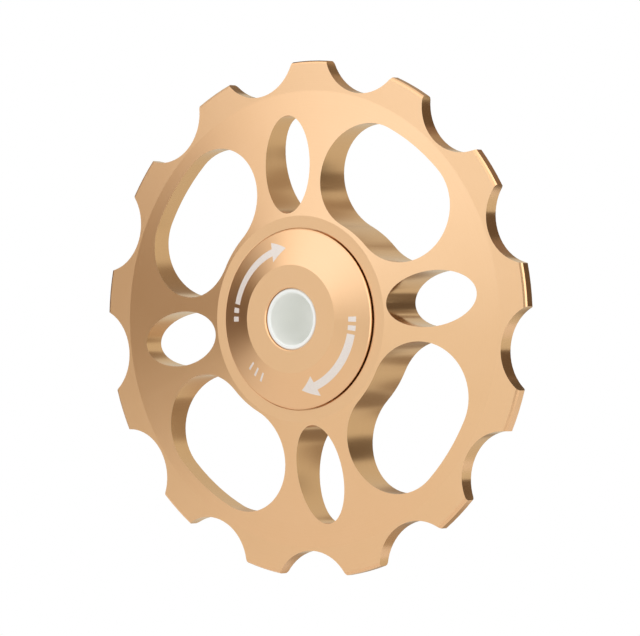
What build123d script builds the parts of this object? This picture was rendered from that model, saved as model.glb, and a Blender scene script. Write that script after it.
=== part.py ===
"""Thirteen-tooth derailleur jockey wheel: a machined aluminium wheel that turns on a sealed ball bearing,
with two turned dust caps and an axle sleeve for the bolt of the derailleur cage.

Millimetres. The origin is the middle of the axle bore, +Y runs along the axle to the rear side, +Z is up.
"""

import os
from math import asin, atan, degrees, pi, sin

from build123d import *

# Chain and teeth
tooth_count = 13
chain_pitch = 12.7
roller_diameter = 7.75
roller_clearance = 0.16
gap_radius = 4.6
tooth_height = 2.63
tooth_angle_at_rest = 7.45

# Wheel section
hub_thickness = 5.0
rim_thickness = 1.74
tip_thickness = 1.4
rim_width = 0.3
hub_ring_width = 1.16
tip_bevel = 0.28
tip_bevel_middle = 0.1

# Openings in the web: arc slots and ovals in turn
opening_pairs = 4
slot_hub_margin = 0.39
slot_rim_margin = 1.41
slot_half_angle = 9.72
slot_lean = 2.05
slot_lag = 0.27
oval_hub_margin = 0.31
oval_rim_margin = 2.21
oval_width = 5.35

# Ball bearing
bearing_bore = 6.0
bearing_diameter = 13.0
bearing_width = 5.0
ball_count = 8
ball_diameter = 2.0
ball_gap = 0.03
shoulder_gap = 1.3
race_chamfer = 0.2

# Bearing seals
seal_thickness = 0.35
seal_inset = 0.2
seal_seat_depth = 0.25
seal_lip_length = 0.25
seal_lip_gap = 0.05
seal_fit = 0.02

# Ball cage, a snap-in crown
cage_gap = 0.15
cage_pocket_gap = 0.05
cage_mouth = 0.5
cage_back = 1.4
cage_slot_width = 0.5
cage_slot_depth = 1.0

# Dust caps
overall_width = 8.0
cap_face_radius = 5.25
cap_rim_wall = 1.35
cap_race_clearance = 0.9
cap_end_clearance = 0.2
cap_boss_step = 0.15
cap_rim_proud = 0.38
cap_gap = 0.12
cap_chamfer = 0.1
pocket_depth = 0.6
pocket_clearance = 0.2

# Axle sleeve
sleeve_bore = 5.05
sleeve_fit = 0.01
sleeve_recess = 0.15
sleeve_chamfer = 0.12

# Teeth and rim, from the chain
pitch_radius = chain_pitch / (2 * sin(pi / tooth_count))
root_radius = pitch_radius - roller_diameter / 2 - roller_clearance
gap_centre_radius = root_radius + gap_radius
tip_radius = root_radius + tooth_height
rim_radius = root_radius - rim_width

# Bearing radii
bearing_radius = bearing_diameter / 2
bearing_half = bearing_width / 2
ball_radius = ball_diameter / 2
ball_circle_radius = (bearing_bore + bearing_diameter) / 4
groove_radius = ball_radius + ball_gap
inner_shoulder_radius = ball_circle_radius - shoulder_gap / 2
outer_shoulder_radius = ball_circle_radius + shoulder_gap / 2
seal_seat_radius = outer_shoulder_radius + seal_seat_depth
seal_outside = bearing_half - seal_inset
seal_inside = seal_outside - seal_thickness

# Cap and pocket, around the bearing
cap_rim_inner_radius = bearing_radius + cap_race_clearance
cap_radius = cap_rim_inner_radius + cap_rim_wall
cap_bore_radius = bearing_bore / 2 + sleeve_fit
cap_boss_radius = inner_shoulder_radius - cap_boss_step
cap_face = overall_width / 2
cap_underside = bearing_half + cap_end_clearance
hub_face = hub_thickness / 2
cap_rim_top = hub_face + cap_rim_proud
pocket_floor = hub_face - pocket_depth
cap_rim_foot = pocket_floor + pocket_clearance
pocket_radius = cap_radius + cap_gap
hub_radius = pocket_radius + hub_ring_width

# Sleeve
sleeve_radius = bearing_bore / 2 - sleeve_fit
sleeve_bore_radius = sleeve_bore / 2
sleeve_end = cap_face - sleeve_recess

# Half thickness of the tooth tips
tip_half = tip_thickness / 2

# Openings, between hub and rim
slot_radius = (hub_radius + slot_hub_margin + rim_radius - slot_rim_margin) / 2
slot_width = rim_radius - slot_rim_margin - hub_radius - slot_hub_margin
oval_radius = (hub_radius + oval_hub_margin + rim_radius - oval_rim_margin) / 2
oval_length = rim_radius - oval_rim_margin - hub_radius - oval_hub_margin
oval_half_angle = degrees(atan(oval_width / 2 / oval_radius))
slot_end_angle = slot_half_angle + degrees(asin(slot_width / 2 / slot_radius))
spoke_angle = (oval_half_angle + 180 / opening_pairs - slot_end_angle) / 2

nodes = []

# Toothed wheel: the turned blank, cut at a spoke so that its seam is clear of the openings
with BuildPart() as wheel:
    with BuildSketch(Plane.XY.rotated((0, -180 - tooth_angle_at_rest - spoke_angle, 0))):
        with BuildLine():
            Polyline(
                (tip_radius - tip_bevel_middle, tip_half - tip_bevel_middle),
                (tip_radius, tip_half - tip_bevel),
                (tip_radius, 0),
                (bearing_radius, 0),
                (bearing_radius, pocket_floor),
                (pocket_radius, pocket_floor),
                (pocket_radius, hub_face),
                (hub_radius, hub_face),
                (rim_radius, rim_thickness / 2),
                (tip_radius - tip_bevel, tip_half),
                close=True,
            )
        make_face()
        mirror(about=Plane.XZ)
    revolve(axis=Axis.Y)

    # Arc slots and ovals
    with BuildSketch(Plane.XZ.offset(hub_thickness)):
        with BuildLine(mode=Mode.PRIVATE) as slot_line:
            CenterArc((-slot_radius, 0), slot_radius, -slot_half_angle, 2 * slot_half_angle)
        with PolarLocations(slot_radius, opening_pairs, tooth_angle_at_rest + 180 / opening_pairs - slot_lag):
            SlotArc(slot_line.edge(), slot_width, rotation=slot_lean)
        with PolarLocations(oval_radius, opening_pairs, tooth_angle_at_rest):
            Ellipse(oval_length / 2, oval_width / 2)
    extrude(amount=-2 * hub_thickness, mode=Mode.SUBTRACT)

    # Gaps between the teeth
    with BuildSketch(Plane.XZ.offset(hub_thickness)):
        with PolarLocations(gap_centre_radius, tooth_count, tooth_angle_at_rest + 180 / tooth_count):
            Circle(gap_radius)
    extrude(amount=-2 * hub_thickness, mode=Mode.SUBTRACT)
wheel.part.label = "wheel"
nodes.append(wheel)

# Axle sleeve
with BuildPart() as axle_sleeve:
    with BuildSketch(Plane.XY):
        with BuildLine():
            Polyline(
                (sleeve_bore_radius, 0),
                (sleeve_bore_radius, sleeve_end - sleeve_chamfer),
                (sleeve_bore_radius + sleeve_chamfer, sleeve_end),
                (sleeve_radius - sleeve_chamfer, sleeve_end),
                (sleeve_radius, sleeve_end - sleeve_chamfer),
                (sleeve_radius, 0),
                close=True,
            )
        make_face()
        mirror(about=Plane.XZ)
    revolve(axis=Axis.Y)
axle_sleeve.part.label = "axle_sleeve"
nodes.append(axle_sleeve)

# Inner race with its ball groove
with BuildPart() as bearing_inner_race:
    with BuildSketch(Plane.XY):
        with BuildLine():
            Polyline(
                (bearing_bore / 2, 0),
                (bearing_bore / 2, bearing_half - race_chamfer),
                (bearing_bore / 2 + race_chamfer, bearing_half),
                (inner_shoulder_radius, bearing_half),
                (inner_shoulder_radius, 0),
                close=True,
            )
        make_face()
        mirror(about=Plane.XZ)
        with Locations((ball_circle_radius, 0)):
            Circle(groove_radius, mode=Mode.SUBTRACT)
    revolve(axis=Axis.Y)
bearing_inner_race.part.label = "bearing_inner_race"
nodes.append(bearing_inner_race)

# Outer race with its ball groove and the seats of the seals
with BuildPart() as bearing_outer_race:
    with BuildSketch(Plane.XY):
        with BuildLine():
            Polyline(
                (outer_shoulder_radius, 0),
                (outer_shoulder_radius, seal_inside),
                (seal_seat_radius, seal_inside),
                (seal_seat_radius, bearing_half),
                (bearing_radius - race_chamfer, bearing_half),
                (bearing_radius, bearing_half - race_chamfer),
                (bearing_radius, 0),
                close=True,
            )
        make_face()
        mirror(about=Plane.XZ)
        with Locations((ball_circle_radius, 0)):
            Circle(groove_radius, mode=Mode.SUBTRACT)
    revolve(axis=Axis.Y)
bearing_outer_race.part.label = "bearing_outer_race"
nodes.append(bearing_outer_race)

# Balls
for index in range(ball_count):
    with BuildPart(Plane.XZ) as ball:
        with PolarLocations(ball_circle_radius, 1, index * 360 / ball_count):
            Sphere(ball_radius)
    ball.part.label = f"ball_{index + 1}"
    nodes.append(ball)

# Ball cage: a ring with round pockets whose mouths open to the front, and slots that free the snap fingers
with BuildPart() as ball_cage:
    with BuildSketch(Plane.XZ.offset(cage_mouth)):
        Circle(outer_shoulder_radius - cage_gap)
        Circle(inner_shoulder_radius + cage_gap, mode=Mode.SUBTRACT)
    extrude(amount=-cage_mouth - cage_back)
    with BuildSketch(Plane.XZ.offset(cage_mouth)):
        with PolarLocations(ball_circle_radius, ball_count, 180 / ball_count):
            Rectangle(2 * shoulder_gap, cage_slot_width)
    extrude(amount=-cage_slot_depth, mode=Mode.SUBTRACT)
    with Locations(Plane.XZ):
        with PolarLocations(ball_circle_radius, ball_count):
            Cylinder(
                ball_radius + cage_pocket_gap,
                2 * shoulder_gap,
                rotation=(0, 90, 0),
                mode=Mode.SUBTRACT,
            )
ball_cage.part.label = "ball_cage"
nodes.append(ball_cage)

# Seals and dust caps, alike on the front (-Y) and the rear (+Y)
for side_name, side in (("front", -1), ("rear", 1)):
    with BuildPart() as seal:
        with BuildSketch(Plane.XY):
            with BuildLine():
                Polyline(
                    (inner_shoulder_radius + seal_lip_gap, side * (seal_inside + seal_thickness / 2)),
                    (inner_shoulder_radius + seal_lip_length, side * seal_inside),
                    (seal_seat_radius - seal_fit, side * seal_inside),
                    (seal_seat_radius - seal_fit, side * seal_outside),
                    (inner_shoulder_radius + seal_lip_length, side * seal_outside),
                    close=True,
                )
            make_face()
        revolve(axis=Axis.Y)
    seal.part.label = f"{side_name}_seal"
    nodes.append(seal)

    with BuildPart() as cap:
        with BuildSketch(Plane.XY):
            with BuildLine():
                Polyline(
                    (cap_bore_radius, side * bearing_half),
                    (cap_boss_radius, side * bearing_half),
                    (cap_boss_radius, side * cap_underside),
                    (cap_rim_inner_radius, side * cap_underside),
                    (cap_rim_inner_radius, side * cap_rim_foot),
                    (cap_radius, side * cap_rim_foot),
                    (cap_radius, side * (cap_rim_top - cap_chamfer)),
                    (cap_radius - cap_chamfer, side * cap_rim_top),
                    (cap_face_radius, side * cap_face),
                    (cap_bore_radius + cap_chamfer, side * cap_face),
                    (cap_bore_radius, side * (cap_face - cap_chamfer)),
                    close=True,
                )
            make_face()
        revolve(axis=Axis.Y)
    cap.part.label = f"{side_name}_cap"
    nodes.append(cap)

os.makedirs("parts", exist_ok=True)
for node in nodes:
    export_step(node.part, f"parts/{node.part.label}.step")
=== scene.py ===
"""The looks of a thirteen-tooth derailleur jockey wheel in gold anodised aluminium.

Metres, in the frame of the solids: the axle runs along +Y, the front is -Y and +Z is up.
"""

from math import cos, hypot, pi, radians, sin

import bmesh
import bpy
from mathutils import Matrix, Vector


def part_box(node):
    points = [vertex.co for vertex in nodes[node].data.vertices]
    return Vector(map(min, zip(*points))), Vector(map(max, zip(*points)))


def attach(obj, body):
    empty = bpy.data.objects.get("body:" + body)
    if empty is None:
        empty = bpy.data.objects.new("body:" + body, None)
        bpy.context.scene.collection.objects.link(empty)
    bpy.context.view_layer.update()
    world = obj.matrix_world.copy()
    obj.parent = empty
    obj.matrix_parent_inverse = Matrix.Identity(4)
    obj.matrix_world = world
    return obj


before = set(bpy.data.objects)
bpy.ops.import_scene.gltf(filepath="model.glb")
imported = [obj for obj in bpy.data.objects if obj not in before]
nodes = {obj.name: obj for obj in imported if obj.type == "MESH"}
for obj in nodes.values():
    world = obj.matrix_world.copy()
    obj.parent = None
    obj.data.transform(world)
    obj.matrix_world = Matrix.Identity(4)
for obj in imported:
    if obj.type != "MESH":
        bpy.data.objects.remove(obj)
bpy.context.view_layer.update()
scene = bpy.context.scene
MM = 0.001

# Camera, from the photograph's 640 by 636 frame
IMAGE_WIDTH, IMAGE_HEIGHT = 640, 636
WHEEL_CENTRE_PIXEL = (314.73, 319.1)
FOCAL_PIXELS = 4839
SENSOR_MM = 36.0
CAMERA_AZIMUTH = 36.04
CAMERA_ELEVATION = 0.0
CAMERA_DISTANCE = 0.4707
CLIP_START = 0.01

# Turned and milled metal: fine rings where a surface faces along the axle, cutter lines on the walls
FACING = (0.55, 0.8)
RING_PITCH = 0.09 * MM
CUTTER_PITCH = 0.25 * MM
SPOT_SIZE = 4 * MM
DEEP_START = 0.2
LINE_ROUGHNESS = 0.16
LINE_STRENGTH = 0.06

# Fine grain of the other finishes
GRAIN_ROUGHNESS = 0.2
GRAIN_STRENGTH = 0.1

# Height of the relief of all finishes
RELIEF = 0.02 * MM

# Etched marks on the front cap. Angles are in degrees, against the clock from +X as the front shows it.
# A share of 0 is the inner edge of the cap's cone and 1 its outer edge.
MARK_LIFT = 0.008 * MM
MARK_DEPTH = 0.02 * MM
MARK_STEP = 2.5
ARROWS = ((168, 98), (-12, -82))
ARROW_BAND = (0.39, 0.61)
DASHES = ((14, 10), (7, 3))
HEAD_ANGLE = 14
HEAD_STEPS = 6
HEAD_MIDDLE = 0.5
HEAD_HALF = 0.3
TICKS = (222, 229, 236)
TICK_HALF_ANGLE = 0.9
TICK_BAND = (0.31, 0.6)
SHARP_ANGLE = 30

# Tolerances for finding the cap's cone and for joining the corners of the marks
SAME_FACE = 0.001 * MM
CAP_EDGE = 0.15 * MM
SAME_CORNER = 0.0001 * MM

# Stage
FLOOR_DROP = 20 * MM
FLOOR_RADIUS = 0.21
FLOOR_SEGMENTS = 96
FLOOR_FADE = (0.08, 0.2)
PAPER_GRAIN = 3 * MM
CARD_RINGS = 6
CARD_SEGMENTS = 48
PATCH_EDGE = (0.7, 1.2)


# Colours


def tone(red, green, blue):
    """An opaque linear colour."""
    return (red, green, blue, 1.0)


def grey(level):
    """A neutral linear colour."""
    return tone(level, level, level)


def warm_shade(level):
    """A dim linear colour, warm as the shade beside a gold object."""
    return tone(level, 0.86 * level, 0.66 * level)


def linear(red, green, blue):
    """A colour given as 0 to 255 in sRGB, as the linear values that shaders take."""
    shares = [c / 255 for c in (red, green, blue)]
    return tone(*(c / 12.92 if c <= 0.04045 else ((c + 0.055) / 1.055) ** 2.4 for c in shares))


# Node helpers


def add(tree, kind, inputs=None, **settings):
    """Adds a shader node. An input that is a socket is linked, any other value is set."""
    made = tree.nodes.new("ShaderNode" + kind)
    for name, value in settings.items():
        setattr(made, name, value)
    for key, value in (inputs or {}).items():
        if isinstance(value, bpy.types.NodeSocket):
            tree.links.new(value, made.inputs[key])
        else:
            made.inputs[key].default_value = value
    return made


def calc(tree, operation, *values):
    """The output of a Math node."""
    return add(tree, "Math", dict(enumerate(values)), operation=operation).outputs[0]


def vector_calc(tree, operation, *values):
    """The output of a Vector Math node: a number for a length, a vector otherwise."""
    outputs = add(tree, "VectorMath", dict(enumerate(values)), operation=operation).outputs
    return outputs["Value" if operation == "LENGTH" else "Vector"]


def blend(tree, factor, low, high):
    """A mix of two numbers, which a Mix node takes in its sockets 2 and 3."""
    return add(tree, "Mix", {0: factor, 2: low, 3: high}, data_type="FLOAT").outputs[0]


def blend_colour(tree, factor, low, high):
    """A mix of two colours, which a Mix node takes in its sockets 6 and 7."""
    return add(tree, "Mix", {0: factor, 6: low, 7: high}, data_type="RGBA").outputs[2]


def smooth_step(tree, value, low, high):
    """0 below low, 1 above high, and a soft passage between."""
    ends = {"Value": value, "From Min": low, "From Max": high}
    return add(tree, "MapRange", ends, interpolation_type="SMOOTHSTEP").outputs[0]


def lines(tree, distance, pitch):
    """Fine random lines across a distance in metres, from 0 to 1, with a mean pitch."""
    noise = {"W": distance, "Scale": 1 / pitch, "Detail": 2.0, "Roughness": 0.6}
    return add(tree, "TexNoise", noise, noise_dimensions="1D").outputs[0]


def cloud(tree, place, size):
    """Soft spots of about one size in metres, from 0 to 1."""
    return add(tree, "TexNoise", {"Vector": place, "Scale": 1 / size, "Detail": 3.0}).outputs[0]


def object_place(tree):
    """The place on an object, in the object's own coordinates."""
    return add(tree, "TexCoord").outputs["Object"]


def axle_coordinates(tree):
    """Place, distance from the axle, place along the axle, and how far a surface faces along the axle."""
    coordinates = add(tree, "TexCoord").outputs
    place = coordinates["Object"]
    radius = vector_calc(tree, "LENGTH", vector_calc(tree, "MULTIPLY", place, (1, 0, 1)))
    along = add(tree, "SeparateXYZ", {0: place}).outputs["Y"]
    facing = calc(tree, "ABSOLUTE", add(tree, "SeparateXYZ", {0: coordinates["Normal"]}).outputs["Y"])
    return place, radius, along, facing


# Materials and objects


def new_material(name):
    """A material with its tree and its shader."""
    material = bpy.data.materials.new(name)
    material.use_nodes = True
    tree = material.node_tree
    return material, tree, tree.nodes["Principled BSDF"]


def bare_material(name):
    """A material without its usual shader, with its tree and the socket that another shader goes to."""
    material, tree, shader = new_material(name)
    tree.nodes.remove(shader)
    return material, tree, tree.nodes["Material Output"].inputs["Surface"]


def glow(tree, colour, surface):
    """Joins an even glow of a colour to a surface."""
    tree.links.new(add(tree, "Emission", {"Color": colour, "Strength": 1.0}).outputs[0], surface)


def finish_shader(tree, shader, colour, roughness, height, strength, metallic):
    """Joins a colour, a roughness and a fine relief to a shader."""
    bump = add(tree, "Bump", {"Height": height, "Strength": strength, "Distance": RELIEF})
    tree.links.new(colour, shader.inputs["Base Color"])
    tree.links.new(roughness, shader.inputs["Roughness"])
    tree.links.new(bump.outputs[0], shader.inputs["Normal"])
    shader.inputs["Metallic"].default_value = metallic


def turned_metal(name, colour, deep_colour, face_roughness, wall_roughness, metallic=1.0):
    """Turned and milled metal: fine rings on the faces and cutter lines on the walls."""
    material, tree, shader = new_material(name)
    place, radius, along, facing = axle_coordinates(tree)
    on_face = smooth_step(tree, facing, *FACING)
    fine_lines = blend(tree, on_face, lines(tree, along, CUTTER_PITCH), lines(tree, radius, RING_PITCH))
    plain = blend(tree, on_face, wall_roughness, face_roughness)
    uneven = calc(tree, "MULTIPLY_ADD", fine_lines, LINE_ROUGHNESS, 1 - LINE_ROUGHNESS / 2)
    roughness = calc(tree, "MULTIPLY", plain, uneven)
    lines_and_spots = calc(tree, "ADD", fine_lines, cloud(tree, place, SPOT_SIZE))
    depth = calc(tree, "MULTIPLY_ADD", lines_and_spots, 0.5, -DEEP_START)
    mixed = blend_colour(tree, depth, colour, deep_colour)
    finish_shader(tree, shader, mixed, roughness, fine_lines, LINE_STRENGTH, metallic)
    return material


def plain_finish(name, colour, deep_colour, roughness, grain, metallic=0.0):
    """A fine-grained finish for etched marks, nylon and rubber."""
    material, tree, shader = new_material(name)
    specks = cloud(tree, object_place(tree), grain)
    mixed = blend_colour(tree, specks, colour, deep_colour)
    uneven = calc(tree, "MULTIPLY_ADD", specks, GRAIN_ROUGHNESS, roughness - GRAIN_ROUGHNESS / 2)
    finish_shader(tree, shader, mixed, uneven, specks, GRAIN_STRENGTH, metallic)
    return material


def make_object(name, form, material):
    """An object in the scene from a bmesh, which is freed."""
    mesh = bpy.data.meshes.new(name)
    form.to_mesh(mesh)
    form.free()
    mesh.materials.append(material)
    made = bpy.data.objects.new(name, mesh)
    scene.collection.objects.link(made)
    return made


def direction(azimuth, elevation):
    """The unit vector from the object to a place round it: azimuth 0 is the front, 90 is +X."""
    a, e = radians(azimuth), radians(elevation)
    return Vector((sin(a) * cos(e), -cos(a) * cos(e), sin(e)))


# Finishes of the solids, by the slot that each node has in the record
FINISHES = {
    "gold_anodised": turned_metal(
        "gold_anodised_finish",
        linear(245, 198, 151),
        linear(240, 191, 141),
        face_roughness=0.33,
        wall_roughness=0.18,
    ),
    "silver_sleeve": turned_metal(
        "silver_sleeve_finish",
        linear(250, 251, 247),
        linear(243, 244, 241),
        face_roughness=0.32,
        wall_roughness=0.7,
        metallic=0.12,
    ),
    "bearing_steel": turned_metal(
        "bearing_steel_finish",
        linear(196, 197, 200),
        linear(176, 178, 182),
        face_roughness=0.2,
        wall_roughness=0.16,
    ),
    "cage_nylon": plain_finish(
        "cage_nylon_finish",
        linear(233, 228, 215),
        linear(224, 217, 202),
        roughness=0.5,
        grain=0.3 * MM,
    ),
    "seal_rubber": plain_finish(
        "seal_rubber_finish",
        linear(34, 33, 32),
        linear(24, 24, 24),
        roughness=0.65,
        grain=0.15 * MM,
    ),
}
for node in nodes.values():
    slot = node.material_slots[0]
    slot.material = FINISHES[slot.material.name]

# The front cap's cone, read from the frame: its inner edge on the cap's flat and its outer edge at the rim
cap_points = [(hypot(v.co.x, v.co.z), -v.co.y) for v in nodes["front_cap"].data.vertices]
cap_front = max(forward for reach, forward in cap_points)
cone_start = max(reach for reach, forward in cap_points if forward > cap_front - SAME_FACE)
cap_radius = max(reach for reach, forward in cap_points)
cone_foot, cone_end = max((forward, reach) for reach, forward in cap_points if reach > cap_radius - CAP_EDGE)


def on_cone(share, angle, lift):
    """A place on the front cap's cone, or a lift in front of it."""
    radius = cone_start + share * (cone_end - cone_start)
    forward = cap_front + share * (cone_foot - cap_front) + lift
    return Vector((radius * cos(radians(angle)), -forward, radius * sin(radians(angle))))


def mark_strip(form, stations):
    """A closed thin strip through stations of angle, inner share and outer share."""
    rows = []
    for angle, inner, outer in stations:
        corners = ((inner, MARK_LIFT), (outer, MARK_LIFT), (outer, -MARK_DEPTH), (inner, -MARK_DEPTH))
        rows.append([form.verts.new(on_cone(share, angle, lift)) for share, lift in corners])
    for low, high in zip(rows, rows[1:]):
        for k in range(4):
            form.faces.new((low[k - 1], low[k], high[k], high[k - 1]))
    form.faces.new(rows[0])
    form.faces.new(rows[-1])


def arrow_mark(form, start, end):
    """A curved arrow, clockwise from start to end, with two short dashes behind it."""
    neck = end + HEAD_ANGLE
    bands = [(start + first, start + last) for first, last in DASHES] + [(start, neck)]
    for first, last in bands:
        count = max(1, round((first - last) / MARK_STEP))
        mark_strip(form, [(first + (last - first) * k / count, *ARROW_BAND) for k in range(count + 1)])
    head = []
    for k in range(HEAD_STEPS + 1):
        half = HEAD_HALF * (1 - k / HEAD_STEPS)
        head.append((neck - HEAD_ANGLE * k / HEAD_STEPS, HEAD_MIDDLE - half, HEAD_MIDDLE + half))
    mark_strip(form, head)


def make_marks():
    """The etched marks, one thin piece on the front cap: two arrows that show a way round and three ticks."""
    etched = plain_finish(
        "etched_mark_finish",
        linear(243, 233, 224),
        linear(228, 216, 207),
        roughness=0.55,
        grain=0.12 * MM,
        metallic=0.4,
    )
    form = bmesh.new()
    for start, end in ARROWS:
        arrow_mark(form, start, end)
    for angle in TICKS:
        mark_strip(form, [(angle - TICK_HALF_ANGLE, *TICK_BAND), (angle + TICK_HALF_ANGLE, *TICK_BAND)])
    bmesh.ops.remove_doubles(form, verts=form.verts, dist=SAME_CORNER)
    bmesh.ops.recalc_face_normals(form, faces=form.faces)
    marks = make_object("front_cap_marks", form, etched)
    marks.data.shade_smooth()
    marks.data.set_sharp_from_angle(angle=radians(SHARP_ANGLE))
    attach(marks, "axle_set")


make_marks()


# Stage: background, floor, light and cards


def background_rays(tree):
    """1 for rays that show the background: from the camera, a reflection or a clear surface."""
    path = add(tree, "LightPath").outputs
    seen = calc(tree, "MAXIMUM", path["Is Camera Ray"], path["Is Glossy Ray"])
    return calc(tree, "MAXIMUM", seen, path["Is Transmission Ray"])


def white_world(ambient):
    """A world that shows white and lights with an even level."""
    world = bpy.data.worlds.new("studio")
    world.use_nodes = True
    scene.world = world
    tree = world.node_tree
    shader = tree.nodes["Background"]
    shader.inputs["Color"].default_value = grey(1.0)
    tree.links.new(blend(tree, background_rays(tree), ambient, 1.0), shader.inputs["Strength"])


def floor_finish():
    """A matt white floor that keeps the shadow and fades into the background."""
    material, tree, surface = bare_material("studio_floor")
    place = object_place(tree)
    paper = blend_colour(tree, cloud(tree, place, PAPER_GRAIN), grey(0.9), grey(0.88))
    matt = add(tree, "BsdfDiffuse", {"Color": paper})
    clear = add(tree, "BsdfTransparent")
    fade = smooth_step(tree, vector_calc(tree, "LENGTH", place), *FLOOR_FADE)
    mixed = add(tree, "MixShader", {0: fade, 1: matt.outputs[0], 2: clear.outputs[0]})
    tree.links.new(mixed.outputs[0], surface)
    return material


def make_floor():
    """A round floor a little below the teeth."""
    form = bmesh.new()
    bmesh.ops.create_circle(form, cap_ends=True, segments=FLOOR_SEGMENTS, radius=FLOOR_RADIUS)
    floor = make_object("floor", form, floor_finish())
    wheel_low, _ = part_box("wheel")
    floor.location.z = wheel_low.z - FLOOR_DROP


def soft_box(name, azimuth, elevation, distance, size, radiance):
    """A square soft light that looks at the object."""
    lamp = bpy.data.lights.new(name, "AREA")
    lamp.shape = "SQUARE"
    lamp.size = size
    lamp.energy = radiance * pi * size * size
    light = bpy.data.objects.new(name, lamp)
    outward = direction(azimuth, elevation)
    light.location = outward * distance
    light.rotation_mode = "QUATERNION"
    light.rotation_quaternion = outward.to_track_quat("Z", "Y")
    scene.collection.objects.link(light)


def show_to_reflections(card):
    """Hides a card from the camera, from diffuse light, from clear surfaces and from shadows, so that only
    reflections see it.
    """
    card.visible_camera = False
    card.visible_diffuse = False
    card.visible_shadow = False
    card.visible_transmission = False


def curved_card(name, centre, half_size, colour, distance, round_card=False):
    """A card on a sphere round the object that reflections see. Centre and half size are in degrees."""
    material, tree, surface = bare_material(name)
    glow(tree, colour, surface)
    form = bmesh.new()
    inner = [form.verts.new(direction(*centre) * distance)] * CARD_SEGMENTS
    for ring in range(1, CARD_RINGS + 1):
        outer = []
        for k in range(CARD_SEGMENTS):
            turn = 2 * pi * k / CARD_SEGMENTS
            across, up = cos(turn), sin(turn)
            reach = ring / CARD_RINGS / (1 if round_card else max(abs(across), abs(up)))
            azimuth = centre[0] + half_size[0] * across * reach
            elevation = centre[1] + half_size[1] * up * reach
            outer.append(form.verts.new(direction(azimuth, elevation) * distance))
        for k in range(CARD_SEGMENTS):
            corners = [inner[k - 1], outer[k - 1], outer[k], inner[k]]
            form.faces.new(list(dict.fromkeys(corners)))
        inner = outer
    show_to_reflections(make_object(name, form, material))


def near_card(name, behind, colour, rectangles, patches):
    """A flat card close behind the object that reflections see, with soft dim patches. Millimetres.

    A rectangle is left, right, low and high. A patch is a centre, a half size and a level.
    """
    material, tree, surface = bare_material(name)
    place = object_place(tree)
    for (x, z), (half_x, half_z), level in patches:
        offset = vector_calc(tree, "SUBTRACT", place, (x * MM, behind * MM, z * MM))
        share = vector_calc(tree, "DIVIDE", offset, (half_x * MM, 1, half_z * MM))
        outside = smooth_step(tree, vector_calc(tree, "LENGTH", share), *PATCH_EDGE)
        colour = blend_colour(tree, outside, warm_shade(level), colour)
    glow(tree, colour, surface)
    form = bmesh.new()
    for left, right, low, high in rectangles:
        corners = ((left, low), (right, low), (right, high), (left, high))
        form.faces.new([form.verts.new((x * MM, behind * MM, z * MM)) for x, z in corners])
    show_to_reflections(make_object(name, form, material))


white_world(ambient=0.88)
make_floor()
soft_box("key_light", azimuth=-15, elevation=42, distance=1.5, size=2.0, radiance=0.285)

# Curved cards, nearest first: where two overlap, the nearer one shows
curved_card("left_core", (-82, 2.5), (20, 10), tone(0.06, 0.02, 0.0), 0.56, round_card=True)
curved_card("left_flag", (-79.3, 4.0), (37.7, 14.5), tone(0.21, 0.13, 0.04), 0.60, round_card=True)
curved_card("far_left_flag", (-127, 32), (20, 26), tone(0.12, 0.09, 0.06), 0.62, round_card=True)
curved_card("right_flag", (27, 2), (21, 22), tone(0.36, 0.34, 0.32), 0.64, round_card=True)
curved_card("left_card", (-79.3, 4.2), (30, 36), grey(0.61), 0.68, round_card=True)
curved_card("front_strip", (-20.8, 24.6), (19.3, 18.8), tone(1.25, 1.41, 1.63), 0.72)
curved_card("right_strip", (76, 15), (28, 50), grey(1.7), 0.74)
curved_card("low_card", (-7.5, -14.5), (67.5, 19.4), tone(0.83, 0.87, 0.86), 0.76)
curved_card("table_card", (150, -22), (70, 20), tone(0.67, 0.68, 0.60), 0.78)
curved_card("back_flag", (140, 13), (32, 17), tone(0.14, 0.11, 0.08), 0.80)
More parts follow.
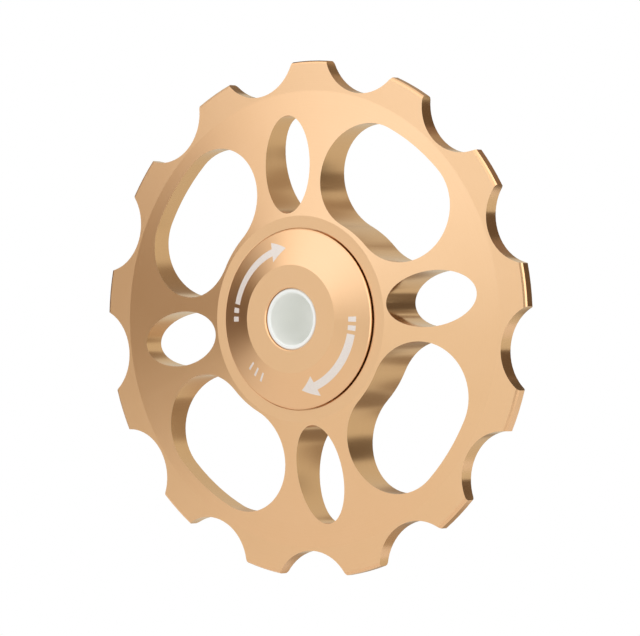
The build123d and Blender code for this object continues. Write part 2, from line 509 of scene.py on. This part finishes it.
curved_card("high_flag", (145, 46), (40, 18), tone(0.26, 0.20, 0.155), 0.82)
curved_card("rear_flag", (200, 20), (28, 27), tone(0.30, 0.25, 0.20), 0.84)

# The card that the walls of the openings mirror, with a dim patch where they are dark in the photograph
near_card(
    "near_card",
    behind=22,
    colour=tone(0.63, 0.63, 0.54),
    rectangles=((-40, 17.5, -40, 40), (17.5, 28.5, -30, 20)),
    patches=(
        ((2, -38), (26, 10), 0.42),
        ((-17, -16), (11, 9), 0.52),
        ((-5, -21), (5, 5), 0.33),
        ((-1, -13.5), (5, 11), 0.33),
        ((5, -26), (7.5, 7), 0.25),
        ((12, -18), (3, 4.5), 0.29),
        ((-19, 20), (14, 9), 0.30),
        ((-16, 37.5), (6, 4), 0.20),
        ((9, 33), (22, 8.5), 0.40),
        ((10, 39), (4.5, 3), 0.16),
        ((9, 22.5), (3, 4.5), 0.36),
        ((8.8, 15.5), (2.3, 2.5), 0.30),
        ((17.5, 16.5), (3.5, 5), 0.24),
        ((25.5, 6), (7.5, 16), 0.12),
        ((21, -7), (5, 7), 0.16),
    ),
)

# Camera
back = direction(CAMERA_AZIMUTH, CAMERA_ELEVATION)
right = Vector((cos(radians(CAMERA_AZIMUTH)), sin(radians(CAMERA_AZIMUTH)), 0))
metres_per_pixel = CAMERA_DISTANCE / FOCAL_PIXELS
aim = right * (IMAGE_WIDTH / 2 - WHEEL_CENTRE_PIXEL[0]) * metres_per_pixel
aim += back.cross(right) * (WHEEL_CENTRE_PIXEL[1] - IMAGE_HEIGHT / 2) * metres_per_pixel
lens = bpy.data.cameras.new("camera")
lens.sensor_width = SENSOR_MM
lens.lens = FOCAL_PIXELS * SENSOR_MM / IMAGE_WIDTH
lens.clip_start = CLIP_START
camera = bpy.data.objects.new("camera", lens)
camera.location = aim + back * CAMERA_DISTANCE
camera.rotation_mode = "QUATERNION"
camera.rotation_quaternion = back.to_track_quat("Z", "Y")
scene.collection.objects.link(camera)
scene.camera = camera
scene.view_settings.view_transform = "Standard"
